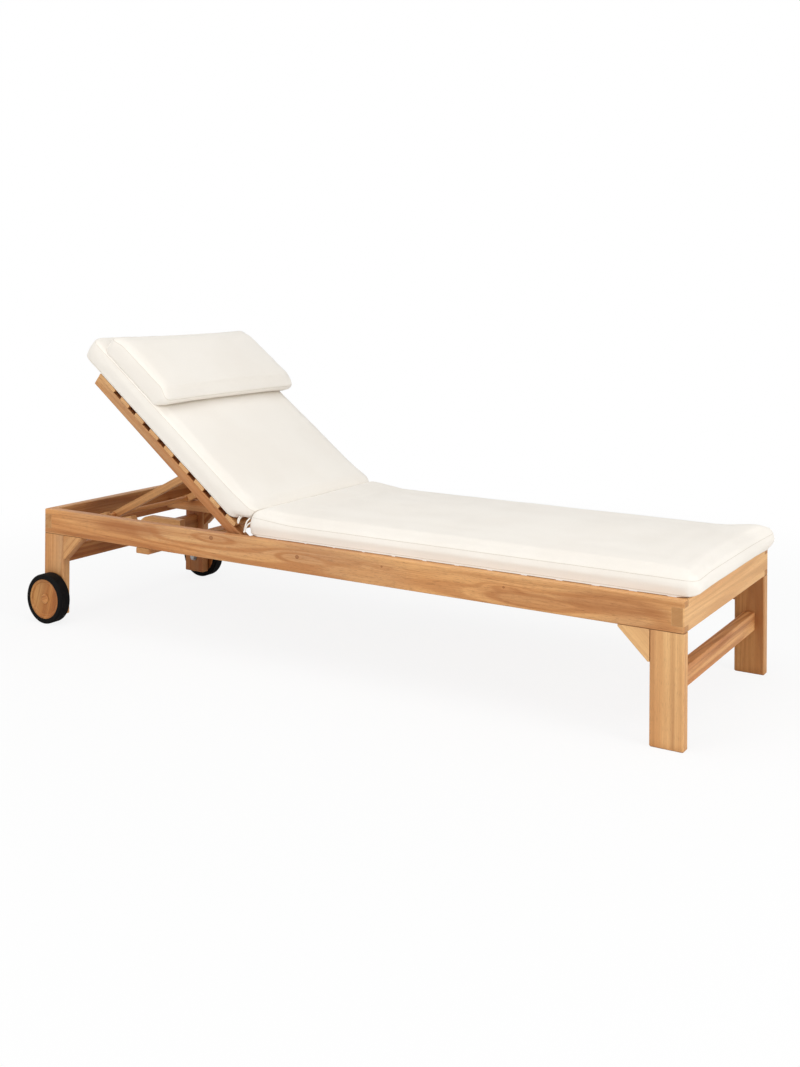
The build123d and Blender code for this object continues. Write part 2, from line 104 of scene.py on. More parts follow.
class Nodes:
    # short hand for the node tree of a material or of the world

    def __init__(self, owner):
        owner.use_nodes = True
        self.owner = owner
        self.tree = owner.node_tree
        self.shader = self.tree.nodes.get("Principled BSDF")

    def add(self, kind, **inputs):
        node = self.tree.nodes.new("ShaderNode" + kind)
        for key, value in inputs.items():
            if key in node.inputs:
                node.inputs[key].default_value = value
            else:
                setattr(node, key, value)
        return node

    def put(self, value, socket):
        # a plain value stays on the socket itself, another node's output is linked to it
        if isinstance(value, (int, float)):
            socket.default_value = value
        elif isinstance(value, (tuple, Vector)):
            socket.default_value = (*value, 1) if socket.type == "RGBA" else value
        elif value is not None:
            self.tree.links.new(value, socket)

    def math(self, operation, a, b=None, clamp=False):
        node = self.add("Math", operation=operation, use_clamp=clamp)
        self.put(a, node.inputs[0])
        self.put(b, node.inputs[1])
        return node.outputs[0]

    def vector(self, operation, a, b=None):
        node = self.add("VectorMath", operation=operation)
        self.put(a, node.inputs[0])
        self.put(b, node.inputs[1])
        return node.outputs["Value" if operation in ("DOT_PRODUCT", "LENGTH") else "Vector"]

    def mix(self, factor, a, b, blend="MIX"):
        node = self.add("Mix", data_type="RGBA", blend_type=blend)
        for value, i in ((factor, 0), (a, 6), (b, 7)):
            self.put(value, node.inputs[i])
        return node.outputs[2]

    def ramp(self, value, low, high, toLow=0.0, toHigh=1.0):
        node = self.add("MapRange", interpolation_type="SMOOTHSTEP")
        names = ("Value", "From Min", "From Max", "To Min", "To Max")
        for part, name in zip((value, low, high, toLow, toHigh), names):
            self.put(part, node.inputs[name])
        return node.outputs["Result"]

    def around(self, middle, pattern, spread):
        # a value that a pattern moves to both sides of its middle
        return self.math("ADD", self.math("MULTIPLY", pattern, spread), middle - spread / 2)

    def noise(self, vector, scale, detail=2.0, roughness=0.5, distortion=0.0):
        node = self.add("TexNoise", Scale=scale, Detail=detail, Roughness=roughness,
                        Distortion=distortion)
        self.put(vector, node.inputs["Vector"])
        return node.outputs[0]

    def creviceShadeMask(self, reach, low, high, share):
        # mask for painted shade: up to a share where other surfaces are near, as in corners and
        # folds
        hidden = self.add("AmbientOcclusion", samples=6, Distance=reach)
        return self.ramp(hidden.outputs["AO"], low, high, 0, share)

    def soften(self, radius):
        # normals that are rounded over the edges
        return self.add("Bevel", samples=4, Radius=radius).outputs[0]

    def bump(self, height, distance, strength=1.0, normal=None):
        node = self.add("Bump", Strength=strength, Distance=distance)
        self.put(height, node.inputs["Height"])
        self.put(normal, node.inputs["Normal"])
        return node.outputs["Normal"]

    def mixShaders(self, share, first, second, output):
        # the tree shows two shaders, mixed by a share
        mix = self.add("MixShader")
        for value, socket in zip((share, first.outputs[0], second.outputs[0]), mix.inputs):
            self.put(value, socket)
        self.put(mix.outputs[0], self.add(output).inputs["Surface"])

    def finish(self, sockets):
        # the shader's own sockets, and the material that is made by them
        for key, value in sockets.items():
            self.put(value, self.shader.inputs[key])
        return self.owner


studio = {
    "skyColor": (0.94, 0.97, 1.0),
    "skyStrength": 0.46,
    "lamps": [
        # name, place, aimed at, size, watts, colour
        ("overhead", (0.2, -0.9, 3.3), (0.1, 0, 0.3), 3.2, 42, (1.0, 0.985, 0.965)),
        ("nearSide", (-1.1, -3.4, 1.4), (0.1, 0, 0.3), 2.2, 33, (1.0, 0.98, 0.95)),
        ("footEnd", (3.6, -0.8, 1.6), (0.6, 0, 0.3), 1.8, 46, (1.0, 0.985, 0.965)),
    ],
    "floorColor": (0.88, 0.88, 0.875),
    "floorSize": 40,
    "fadeFrom": 1.0,          # distances from the middle between which the floor fades to white
    "fadeTo": 2.6,
    "floorGlow": 0.87,        # share of plain white that the camera sees in the floor
}


def addLamp(name, place, target, size, watts, color):
    data = bpy.data.lights.new(name, "AREA")
    data.shape = "DISK"
    data.size = size
    data.energy = watts
    data.color = color
    lamp = newObject(name, data)
    lamp.location = place
    lamp.rotation_mode = "QUATERNION"
    lamp.rotation_quaternion = (Vector(target) - Vector(place)).to_track_quat("-Z", "Y")


def addSky():
    # pale blue light on the lounger; the camera and mirroring surfaces see plain white
    n = Nodes(bpy.data.worlds.new("studioSky"))
    n.tree.nodes.clear()
    light = n.add("Background", Color=(*studio["skyColor"], 1), Strength=studio["skyStrength"])
    plain = n.add("Background", Color=(1, 1, 1, 1), Strength=1)
    rays = n.add("LightPath").outputs
    seen = n.math("ADD", rays["Is Camera Ray"], rays["Is Glossy Ray"])
    seen = n.math("ADD", seen, rays["Is Transmission Ray"], clamp=True)
    n.mixShaders(seen, light, plain, "OutputWorld")
    scene.world = n.owner


def addFloor():
    # pale floor that keeps the shadow near the lounger and fades to white around it
    mesh = bpy.data.meshes.new("floor")
    s = studio["floorSize"] / 2
    mesh.from_pydata([(-s, -s, 0), (s, -s, 0), (s, s, 0), (-s, s, 0)], [], [(0, 1, 2, 3)])
    floor = newObject("floor", mesh)
    n = Nodes(bpy.data.materials.new("paleFloor"))
    n.tree.nodes.clear()
    away = n.vector("LENGTH", n.add("TexCoord").outputs["Object"])
    white = n.ramp(away, studio["fadeFrom"], studio["fadeTo"], studio["floorGlow"], 1)
    seen = n.math("MULTIPLY", white, n.add("LightPath").outputs["Is Camera Ray"])
    matt = n.add("BsdfDiffuse", Color=(*studio["floorColor"], 1))
    glow = n.add("Emission", Color=(1, 1, 1, 1))
    n.mixShaders(seen, matt, glow, "OutputMaterial")
    mesh.materials.append(n.owner)


for lamp in studio["lamps"]:
    addLamp(*lamp)
addSky()
addFloor()
scene.view_settings.view_transform = "Standard"
print("studio lit")

teakFinish = {
    "pale": srgb(245, 197, 135),
    "honey": srgb(232, 171, 107),
    "brown": srgb(184, 117, 62),
    "smoke": srgb(190, 146, 108),
    "ember": srgb(203, 131, 69),
    "heart": srgb(112, 64, 31),
    "flame": srgb(166, 99, 50),
    "knot": srgb(142, 82, 42),
    "endGrain": srgb(182, 130, 76),
    "worn": srgb(234, 188, 132),
    # colour of the painted shade on the inner faces and in the corners
    "insideShade": (0.60, 0.45, 0.30),
    # how much of each shows where it is strongest
    "smokeShare": 0.7,
    "emberShare": 0.62,
    "ringShare": 0.62,
    "streakShare": 0.76,
    "heartShare": 0.82,
    "fibreShare": 0.36,
    "poreShare": 0.42,
    "knotShare": 0.75,
    "boardShare": 0.16,
    "endShare": 0.7,
    "insideShadeShare": 0.85,
    "creviceShadeShare": 0.95,
    "wornShare": 0.45,
    "bandTurns": 130,         # growth rings, as turns of a sine over the figure
    "wobble": 0.018,
    "insideFrom": (0.955, 0.290),   # where the frame's inner faces are, along and across
    "creviceReach": 0.036,
    "edgeRadius": 0.0022,
    "roughness": 0.52,
    "specular": 0.32,
    "reliefDepth": 0.00045,
    "patterns": {
        # waves in a metre along and across the grain, scale, detail, roughness, distortion
        "figure": (0.5, 7.5, 1.0, 1.2, 0.4, 0.15),
        "wobble": (5.0, 60.0, 1.0, 2),
        "ringStrength": (0.8, 6.0, 1.0, 1),
        "broad": (0.7, 9.0, 1.0, 2, 0.5, 0.3),
        "aged": (1.1, 5.0, 1.0, 2, 0.55),
        "glow": (1.0, 12.0, 1.3, 2, 0.5, 0.2),
        "streaks": (0.4, 46.0, 1.0, 3, 0.62, 0.3),
        "darkZone": (1.2, 10.0, 1.0, 2, 0.5),
        "fibres": (6.0, 520.0, 1.0, 2, 0.6),
        "pores": (60.0, 1500.0, 1.0, 1, 0.5),
    },
}
# knots and swirls: place, half height, radius of the dark core, and share of the darker patch
rightRailKnots = (
    ((-0.3378, -0.335, 0.3205), 0.014, 0.0066, 0.0),
    ((-0.0441, -0.335, 0.3040), 0.014, 0.0058, 0.0),
    ((0.2200, -0.335, 0.3121), 0.010, 0.0030, 0.0),
    ((0.5651, -0.335, 0.3064), 0.010, 0.0032, 0.0),
    ((-0.6535, -0.335, 0.3100), 0.021, 0.0, 0.62),
    ((0.8402, -0.335, 0.3046), 0.025, 0.0, 0.68),
    ((0.6282, -0.335, 0.2860), 0.022, 0.0, 0.42),
)
leftRailKnots = (
    ((-0.520, 0.335, 0.3000), 0.016, 0.0050, 0.0),
    ((0.410, 0.335, 0.3100), 0.024, 0.0, 0.5),
    ((0.700, 0.306, 0.2900), 0.014, 0.0050, 0.0),
)


def teak(name, grain, pale=0.0, figure=1.0, seed=0.0, knots=(), tint=None, ends="endGrain"):
    # oiled teak whose grain runs along the direction given
    n = Nodes(bpy.data.materials.new(name))
    look = teakFinish
    grain = Vector(grain).normalized()
    coords = n.add("TexCoord")
    here, facing = coords.outputs["Object"], coords.outputs["Normal"]
    toGrain = grain.rotation_difference(Vector((1, 0, 0))).to_euler()
    turned = n.add("Mapping", Rotation=toGrain)
    n.put(here, turned.inputs["Vector"])
    # every board is cut from another place in the wood
    ownChance = n.add("ObjectInfo").outputs["Random"]
    chance = n.math("ADD", n.math("MULTIPLY", ownChance, 7.3), seed)
    shift = n.add("CombineXYZ")
    for i, step in enumerate((3.1, 1.7, 2.3)):
        n.put(n.math("MULTIPLY", chance, step), shift.inputs[i])
    board = n.vector("ADD", turned.outputs["Vector"], shift.outputs[0])

    def pattern(key):
        along, across, *settings = look["patterns"][key]
        return n.noise(n.vector("MULTIPLY", board, (along, across, across)), *settings)

    # growth rings are contours of a slow field that is stretched along the grain
    field = pattern("figure")
    core = patch = None
    for at, size, dark, share in knots:
        off = n.vector("SUBTRACT", here, at)
        near = n.vector("LENGTH", n.vector("MULTIPLY", off, (0.16 / size, 1 / size, 1 / size)))
        field = n.math("ADD", field, n.ramp(near, 1.5, 0.0, 0, 0.06))
        if dark > 0:
            spot = n.vector("LENGTH", n.vector("MULTIPLY", off, (0.85, 1.0, 1.0)))
            rim = n.math("SUBTRACT", n.ramp(spot, dark, dark * 0.75),
                         n.ramp(spot, dark * 0.72, dark * 0.35, 0, 0.3))
            core = rim if core is None else n.math("MAXIMUM", core, rim)
        if share > 0:
            stain = n.ramp(near, 1.25, 0.55, 0, share)
            patch = stain if patch is None else n.math("MAXIMUM", patch, stain)
    field = n.math("ADD", field, n.math("MULTIPLY", pattern("wobble"), look["wobble"]))
    rings = n.ramp(n.math("SINE", n.math("MULTIPLY", field, look["bandTurns"])), -0.35, 1.0)
    ringStrength = n.ramp(pattern("ringStrength"), 0.38, 0.66, 0.06, look["ringShare"])
    ringMask = n.math("MULTIPLY", n.math("MULTIPLY", rings, ringStrength), figure)

    streaks, fibres = pattern("streaks"), pattern("fibres")
    darkStreak = n.math("MULTIPLY", n.ramp(streaks, 0.56, 0.80),
                        n.ramp(pattern("darkZone"), 0.45, 0.64))
    poreMask = n.ramp(pattern("pores"), 0.60, 0.70)
    tone = n.mix(n.ramp(pattern("broad"), 0.34, 0.64), look["honey"], look["pale"])
    for mask, color in (
        (n.ramp(pattern("aged"), 0.51, 0.66, 0, look["smokeShare"]), "smoke"),
        (n.ramp(pattern("glow"), 0.50, 0.66, 0, look["emberShare"]), "ember"),
        (ringMask, "brown"),
        (n.ramp(streaks, 0.48, 0.74, 0, look["streakShare"]), "brown"),
        (n.math("MULTIPLY", darkStreak, look["heartShare"] * figure), "heart"),
        (n.ramp(fibres, 0.35, 0.72, 0, look["fibreShare"]), "brown"),
        (n.math("MULTIPLY", poreMask, look["poreShare"]), "heart"),
    ):
        tone = n.mix(mask, tone, look[color])
    if patch is not None:
        ragged = n.math("MULTIPLY", patch, n.ramp(streaks, 0.30, 0.62, 0.55, 1.0))
        tone = n.mix(ragged, tone, look["flame"])
    if core is not None:
        tone = n.mix(n.math("MULTIPLY", core, look["knotShare"]), tone, look["knot"])
    # each board has its own shade
    shade = n.math("MULTIPLY", ownChance, look["boardShare"])
    tone = n.mix(shade, tone, look["brown"], "MULTIPLY")
    if pale > 0:
        tone = n.mix(pale, tone, look["worn"])
    if tint:
        tone = n.mix(1.0, tone, tint, "MULTIPLY")

    # end grain, where the surface is square to the grain
    square = n.math("ABSOLUTE", n.vector("DOT_PRODUCT", facing, grain))
    endMask = n.math("MULTIPLY", n.ramp(square, 0.90, 0.97), look["endShare"])
    endRings = n.add("TexWave", wave_type="RINGS", rings_direction="X", Scale=60.0, Distortion=1.5)
    n.put(board, endRings.inputs["Vector"])
    endTone = n.mix(n.ramp(endRings.outputs[1], 0.2, 0.9, 0, 0.4), look[ends], look["brown"])
    endTone = n.mix(n.math("MULTIPLY", n.noise(board, 900.0, 1), 0.25), endTone, look["heart"])
    tone = n.mix(endMask, tone, endTone)

    # painted shade: the frame's inner faces, which turn away from the lamps, are darkened
    split, turnedTo = n.add("SeparateXYZ"), n.add("SeparateXYZ")
    n.put(here, split.inputs[0])
    n.put(facing, turnedTo.inputs[0])
    inside = None
    for axis, start in enumerate(look["insideFrom"]):
        inward = n.math("MULTIPLY", turnedTo.outputs[axis], n.math("SIGN", split.outputs[axis]))
        edgeOn = n.ramp(n.math("ABSOLUTE", split.outputs[axis]), start, start + 0.01)
        mask = n.math("MULTIPLY", n.ramp(inward, -0.5, -0.95), edgeOn)
        inside = mask if inside is None else n.math("MAXIMUM", inside, mask)
    paintedInsideShade = n.math("MULTIPLY", inside, look["insideShadeShare"])
    tone = n.mix(paintedInsideShade, tone, look["insideShade"], "MULTIPLY")
    # painted shade in the corners and between the slats, where other surfaces are near
    paintedCornerShade = n.creviceShadeMask(look["creviceReach"], 0.74, 0.22, look["creviceShadeShare"])
    tone = n.mix(paintedCornerShade, tone, look["insideShade"], "MULTIPLY")

    # edges rubbed paler
    softNormal = n.soften(look["edgeRadius"])
    trueNormal = n.add("NewGeometry").outputs["Normal"]
    edge = n.ramp(n.vector("DOT_PRODUCT", softNormal, trueNormal), 0.995, 0.88)
    patchy = n.ramp(n.noise(board, 45.0, 2), 0.35, 0.65, 0.35, 1.0)
    rubbed = n.math("MULTIPLY", n.math("MULTIPLY", edge, patchy), look["wornShare"])

    relief = n.math("SUBTRACT", n.math("MULTIPLY", fibres, 0.6), n.math("MULTIPLY", poreMask, 0.5))
    relief = n.math("SUBTRACT", relief, n.math("MULTIPLY", rings, 0.25))
    return n.finish({
        "Base Color": n.mix(rubbed, tone, look["worn"]),
        "Roughness": n.around(look["roughness"], fibres, 0.18),
        "Normal": n.bump(relief, look["reliefDepth"], 0.7, softNormal),
        "Specular IOR Level": look["specular"],
    })


canvasFinish = {
    "cloth": srgb(246, 240, 231),
    "hollow": srgb(238, 230, 219),
    "shadowed": srgb(206, 194, 177),
    "softShare": 0.35,        # how much of the hollow tone shows in slow patches
    "slubShare": 0.25,
    "creviceShadeShare": 0.7,
    "creviceReach": 0.012,
    "threadWidth": 0.0011,
    "reliefDepth": 0.0004,
    "roughness": 0.88,
    "specular": 0.2,
    "sheen": 0.15,
    "sheenRoughness": 0.6,
}


def canvas(name):
    # plain woven outdoor canvas
    n = Nodes(bpy.data.materials.new(name))
    look = canvasFinish
    place = n.add("TexCoord").outputs["Object"]
    slub = n.noise(place, 260.0, 3, 0.6)
    soft = n.noise(place, 5.0, 2, 0.5)
    split = n.add("SeparateXYZ")
    n.put(place, split.inputs[0])
    weave = None
    for axis in range(3):
        turns = n.math("MULTIPLY", split.outputs[axis], math.pi / look["threadWidth"])
        wave = n.math("SINE", turns)
        weave = wave if weave is None else n.math("MULTIPLY", weave, n.math("ADD", wave, 1.6))
    tone = n.mix(n.ramp(soft, 0.35, 0.7, 0, look["softShare"]), look["cloth"], look["hollow"])
    tone = n.mix(n.ramp(slub, 0.45, 0.8, 0, look["slubShare"]), tone, look["hollow"])
    # painted shade: concave places, found by the mesh's pointiness, take the hollow tone
    edge = n.ramp(n.add("NewGeometry").outputs["Pointiness"], 0.44, 0.50, 0.5, 0)
    tone = n.mix(edge, tone, look["hollow"])
    # painted shade in folds and seams, where other surfaces are near
    dustAndShade = n.creviceShadeMask(look["creviceReach"], 0.66, 0.25, look["creviceShadeShare"])
    height = n.math("ADD", n.math("MULTIPLY", weave, 0.12), n.math("MULTIPLY", slub, 0.8))
    return n.finish({
        "Base Color": n.mix(dustAndShade, tone, look["shadowed"]),
        "Roughness": n.around(look["roughness"], slub, 0.12),
        "Normal": n.bump(height, look["reliefDepth"], 0.6),
        "Specular IOR Level": look["specular"],
        "Sheen Weight": look["sheen"],
        "Sheen Roughness": look["sheenRoughness"],
    })


threadFinish = {
    "dark": srgb(212, 202, 188),
    "light": srgb(232, 224, 212),
    "reliefDepth": 0.0003,
    "roughness": 0.85,
    "specular": 0.2,
}


def stitchedThread(name):
    n = Nodes(bpy.data.materials.new(name))
    look = threadFinish
    twist = n.noise(n.add("TexCoord").outputs["Object"], 900.0, 2)
    return n.finish({
        "Base Color": n.mix(n.ramp(twist, 0.3, 0.7), look["dark"], look["light"]),
        "Roughness": look["roughness"],
        "Normal": n.bump(twist, look["reliefDepth"]),
        "Specular IOR Level": look["specular"],
    })


rubberFinish = {
    "black": srgb(7, 6, 6),
    "dustAndShade": srgb(22, 20, 18),
    "sideDust": 0.15,         # share of the dust that the wheel's flat sides hold
    "treadDust": 0.5,         # and how much more the tread does
    "edgeRadius": 0.003,
    "reliefDepth": 0.0003,
    "roughness": 0.72,
    "specular": 0.12,
}


def rubber(name):
    n = Nodes(bpy.data.materials.new(name))
    look = rubberFinish
    coords = n.add("TexCoord")
    dustAndShade = n.noise(coords.outputs["Object"], 38.0, 4, 0.6)
    grit = n.noise(coords.outputs["Object"], 950.0, 2, 0.6)
    # the tread is what faces away from the axle
    side = n.math("ABSOLUTE", n.vector("DOT_PRODUCT", coords.outputs["Normal"], (0.0, 1.0, 0.0)))
    tread = n.math("MULTIPLY", n.ramp(side, 0.8, 0.1), look["treadDust"])
    mask = n.math("MULTIPLY", n.ramp(dustAndShade, 0.42, 0.75), n.math("ADD", tread, look["sideDust"]))
    return n.finish({
        "Base Color": n.mix(mask, look["black"], look["dustAndShade"]),
        "Roughness": n.around(look["roughness"], dustAndShade, 0.2),
        "Normal": n.bump(grit, look["reliefDepth"], 0.5, n.soften(look["edgeRadius"])),
        "Specular IOR Level": look["specular"],
    })


steelFinish = {
    "dark": srgb(150, 150, 150),
    "light": srgb(196, 195, 193),
    "edgeRadius": 0.0008,
    "reliefDepth": 0.0001,
    "roughness": 0.365,
}


def steel(name):
    # stainless bolts with fine turned lines and a few scratches
    n = Nodes(bpy.data.materials.new(name))
    look = steelFinish
    place = n.add("TexCoord").outputs["Object"]
    lines = n.noise(n.vector("MULTIPLY", place, (1.0, 40.0, 1.0)), 120.0, 2)
    scratch = n.noise(n.vector("MULTIPLY", place, (300.0, 20.0, 900.0)), 1.0, 2)
    return n.finish({
        "Base Color": n.mix(n.ramp(lines, 0.3, 0.7), look["dark"], look["light"]),
        "Roughness": n.around(look["roughness"], scratch, 0.25),
        "Normal": n.bump(lines, look["reliefDepth"], 0.4, n.soften(look["edgeRadius"])),
        "Metallic": 1.0,
    })


alongProp = (propPivot - propFoot).normalized()
teakLong = teak("teakAlongFrame", (1, 0, 0))
teakRightRail = teak("teakRightRail", (1, 0, 0), seed=0.2, knots=rightRailKnots)
teakLeftRail = teak("teakLeftRail", (1, 0, 0), seed=5.6, knots=leftRailKnots)
teakCross = teak("teakAcrossFrame", (0, 1, 0), seed=1.3)
teakFootRail = teak("teakFootRail", (0, 1, 0), pale=0.48, seed=6.4)
teakStretcher = teak("teakStretcher", (0, 1, 0), seed=2.6, tint=(0.92, 0.85, 0.81))
teakSlat = teak("teakSlats", (0, 1, 0), seed=3.3, ends="worn")
teakUpright = teak("teakUpright", (0, 0, 1), seed=2.1)
teakFootLeg = teak("teakFootLegs", (0, 0, 1), pale=0.3, seed=2.9)
teakBack = teak("teakAlongBack", alongBack, seed=0.7, tint=(0.86, 0.83, 0.82))
teakProp = teak("teakAlongProp", alongProp, pale=0.12, seed=3.9)
teakHeadGusset = teak("teakHeadGusset", (1, 0, 1), seed=0.4, tint=(0.84, 0.76, 0.70))
# the head stretcher's inner face; its dark tint is painted shade
teakShadedInner = teak("teakShadedInner", (0, 1, 0), seed=1.9, tint=(0.66, 0.54, 0.42))
teakFootGusset = teak("teakFootGusset", (1, 0, -1), pale=0.45, figure=0.6, seed=1.1)
teakDisc = teak("teakDisc", (0.3, 0, 1), seed=4.6, tint=(0.74, 0.63, 0.46))
teakCap = teak("teakCap", (1, 0, 0.4), figure=0.3, seed=5.2, tint=(0.92, 0.84, 0.70))
canvasCloth = canvas("cushionCanvas")
seamThread = stitchedThread("seamThread")
tyreRubber = rubber("tyreRubber")
boltSteel = steel("boltSteel")

# the first of these words that a node's name holds gives its material
materialWords = (
    ("tyre", tyreRubber), ("bolts", boltSteel), ("cushion", canvasCloth), ("pillow", canvasCloth),
    ("wheel_cap", teakCap), ("wheel_disc", teakDisc), ("head_gusset", teakHeadGusset),
    ("foot_gusset", teakFootGusset), ("foot_leg", teakFootLeg), ("head_leg", teakUpright),
    ("head_stretcher", teakShadedInner), ("foot_stretcher", teakStretcher), ("foot_rail", teakFootRail),
    ("bearer", teakLong), ("_rack", teakLong), ("_slat_", teakSlat), ("stile", teakBack),
    ("_rib", teakBack), ("prop_arm", teakProp), ("right_side_rail", teakRightRail),
    ("left_side_rail", teakLeftRail),
)
for name, piece in nodes.items():
    piece.data.materials.clear()
    piece.data.materials.append(next((m for word, m in materialWords if word in name), teakCross))
print("materials made")

# A cushion is made in its own place: s along it, t across it and h up from what it lies on,
# all in metres. A matrix then takes it to the seat or to the back.
seatPlace = Matrix.Translation((0, 0, railTop))
backPlace = Matrix((
    (alongBack.x, 0, outOfBack.x, hinge.x),
    (0, -1, 0, 0),
    (alongBack.z, 0, outOfBack.z, hinge.z),
    (0, 0, 0, 1),
))
slatFace = 0.026              # slats' upper face above the hinge's line, out of the back

seatPad = {
    "name": "seatCushion",
    "start": -0.2365,
    "end": 1.0245,
    "half": 0.3040,
    "corner": 0.030,          # plan radius of the corners
    "waist": 0.003,           # how far the sides are drawn in between the corners
    "bottom": 0.0006,
    "edge": 0.039,            # height of the side band
    "shoulder": 0.055,        # height where the top panel levels out
    "round": 0.046,           # and how far in from the edge that is
    "crown": 0.062,
    "bulge": 0.006,
    "hem": 0.0060,            # how far the lower edge reaches out over what it lies on
    "shrink": 0.0035,
    "cap": 0.008,             # how far a point may move as the cover is stuffed
    "slack": 0.0012,
    "voxel": 0.006,
    "bagVoxel": 0.013,
    "ripple": 0.0016,
    "seed": 3,
    "creases": (),
}
backPad = {
    "name": "backCushion",
    "start": 0.026,
    "end": 0.795,
    "half": 0.3035,
    "corner": 0.038,
    "waist": 0.003,
    "bottom": slatFace + 0.0006,
    "edge": 0.058,
    "shoulder": 0.067,
    "round": 0.030,
    "crown": 0.072,
    "bulge": 0.004,
    "hem": -0.002,
    "shrink": 0.0035,
    "cap": 0.007,
    "slack": 0.0012,
    "voxel": 0.006,
    "bagVoxel": 0.012,
    "ripple": 0.0018,
    "seed": 11,
    "creases": (
        # from, to, depth and width, in the cushion's own place
        ((0.760, 0.300, 0.097), (0.736, 0.306, 0.098), 0.008, 0.0045),
        ((0.740, 0.305, 0.100), (0.716, 0.308, 0.082), 0.009, 0.0045),
    ),
}
pillowPad = {
    "name": "headPillow",
    "start": 0.451,
    "end": 0.735,
    "half": 0.3080,
    "corner": 0.021,
    "waist": 0.003,
    "bottom": slatFace + 0.054,
    "edge": 0.063,
    "shoulder": 0.072,
    "round": 0.030,
    "crown": 0.077,
    "bulge": 0.003,
    "hem": 0.0,
    "shrink": 0.004,
    "cap": 0.007,
    "slack": 0.0012,
    "voxel": 0.006,
    "bagVoxel": 0.010,
    "ripple": 0.0018,
    "seed": 23,
    "creases": (
        ((0.735, 0.290, 0.130), (0.726, 0.305, 0.094), 0.009, 0.0045),
        ((0.728, 0.309, 0.118), (0.708, 0.309, 0.096), 0.004, 0.005),
        ((0.466, 0.262, 0.118), (0.462, 0.218, 0.114), 0.002, 0.004),
    ),
}
# rings of the raw form: how far in from the edge, and points along each
ringInsets = (0.003, 0.008, 0.015, 0.024, 0.036, 0.055, 0.08, 0.11, 0.15, 0.2, 0.25, 0.29)
bandSteps = 6                 # up the side band
cornerSteps = 8
sideSteps = (40, 24)          # along the cushion and across it


def outline(pad, inset):
    # (s, t) around a rounded rectangle that the inset makes smaller; its sides are drawn in
    s0, s1 = pad["start"] + inset, pad["end"] - inset
    half = pad["half"] - inset
    radius = min(max(pad["corner"] - inset, 0.004), half * 0.98, (s1 - s0) / 2 * 0.98)
    found = []
    corners = (
        (s1 - radius, half - radius, 0), (s0 + radius, half - radius, 90),
        (s0 + radius, radius - half, 180), (s1 - radius, radius - half, 270),
    )
    for i, (cs, ct, first) in enumerate(corners):
        for k in range(cornerSteps + 1):
            angle = math.radians(first + 90 * k / cornerSteps)
            found.append((cs + radius * math.cos(angle), ct + radius * math.sin(angle)))
        ns, nt, following = corners[(i + 1) % 4]
        angle = math.radians(following)
        target = (ns + radius * math.cos(angle), nt + radius * math.sin(angle))
        last = found[-1]
        steps = sideSteps[i % 2]
        for k in range(1, steps):
            found.append((last[0] + (target[0] - last[0]) * k / steps,
                          last[1] + (target[1] - last[1]) * k / steps))
    middle = (s0 + s1) / 2
    drawn = []
    for s, t in found:
        along = max(0.0, 1 - abs(s - middle) / max((s1 - s0) / 2, 0.001))
        across = max(0.0, 1 - abs(t) / max(half, 0.001))
        t -= math.copysign(pad["waist"] * min(1, along * 3), t) * (abs(t) / pad["half"])
        pull = math.copysign(pad["waist"] * min(1, across * 2), s - middle)
        s -= pull * abs(s - middle) / (s1 - s0) * 2
        drawn.append((s, t))
    return drawn


def topHeight(pad, inset):
    reach = min(inset / pad["round"], 1)
    rise = (pad["shoulder"] - pad["edge"]) * math.sqrt(max(0, 1 - (1 - reach) ** 2))
    crown = (pad["crown"] - pad["shoulder"]) * math.sin(math.pi / 2 * min(1, inset / pad["half"]))
    return pad["edge"] + rise + crown


def joinRings(bm, rings, closed=False):
    # quads from each ring of points to the next, and from the last to the first where it closes
    count = len(rings[0])
    for lower, upper in zip(rings, rings[1:] + rings[:1] if closed else rings[1:]):
        for i in range(count):
            j = (i + 1) % count
            bm.faces.new((lower[i], lower[j], upper[j], upper[i]))


def pieceFrom(bm, name):
    mesh = bpy.data.meshes.new(name)
    bm.to_mesh(mesh)
    bm.free()
    return newObject(name, mesh)


def rawCushion(pad, warp, floorAt):
    # closed form in rings: base, side band, seam, top panel
    narrow = min(pad["half"], (pad["end"] - pad["start"]) / 2)
    insets = [inset for inset in ringInsets if inset < narrow - 0.008]
    rings = [[(s, t, 0.0) for s, t in outline(pad, inset)] for inset in reversed(insets)]
    for k in range(bandSteps + 1):
        share = k / bandSteps
        out = pad["bulge"] * math.sin(math.pi * share)
        rings.append([(s, t, pad["edge"] * share) for s, t in outline(pad, -out)])
    for inset in insets:
        rings.append([(s, t, topHeight(pad, inset)) for s, t in outline(pad, inset)])
    bm = bmesh.new()
    made = []
    for ring in rings:
        row = []
        for s, t, h in ring:
            lift = pad["bottom"] + h
            if floorAt:      # the top stays level while the base follows what is under it
                base = floorAt(s, t)
                lift = base + (lift - base) * min(1, h / 0.012)
            row.append(bm.verts.new(warp(s, t, lift)))
        made.append(row)
    joinRings(bm, made)
    bm.faces.new(list(reversed(made[0])))
    bm.faces.new(made[-1])
    bmesh.ops.triangulate(bm, faces=[f for f in bm.faces if len(f.verts) > 4])
    bmesh.ops.recalc_face_normals(bm, faces=bm.faces)
    return pieceFrom(bm, pad["name"])


def bake(piece):
    # takes the piece's modifiers into its mesh
    bpy.context.view_layer.update()
    seen = piece.evaluated_get(bpy.context.evaluated_depsgraph_get())
    mesh = bpy.data.meshes.new_from_object(seen)
    old = piece.data
    piece.modifiers.clear()
    piece.data = mesh
    bpy.data.meshes.remove(old)


def remesh(piece, size):
    change = piece.modifiers.new("evenQuads", "REMESH")
    change.mode = "VOXEL"
    change.voxel_size = size
    bake(piece)


def pointsOf(mesh):
    # places and normals of all the points, as two tables of three columns
    count = len(mesh.vertices)
    at, normals = np.zeros(count * 3), np.zeros(count * 3)
    mesh.vertices.foreach_get("co", at)
    mesh.vertex_normals.foreach_get("vector", normals)
    return at.reshape(-1, 3), normals.reshape(-1, 3)


def movePoints(mesh, at):
    mesh.vertices.foreach_set("co", at.ravel())
    mesh.update()


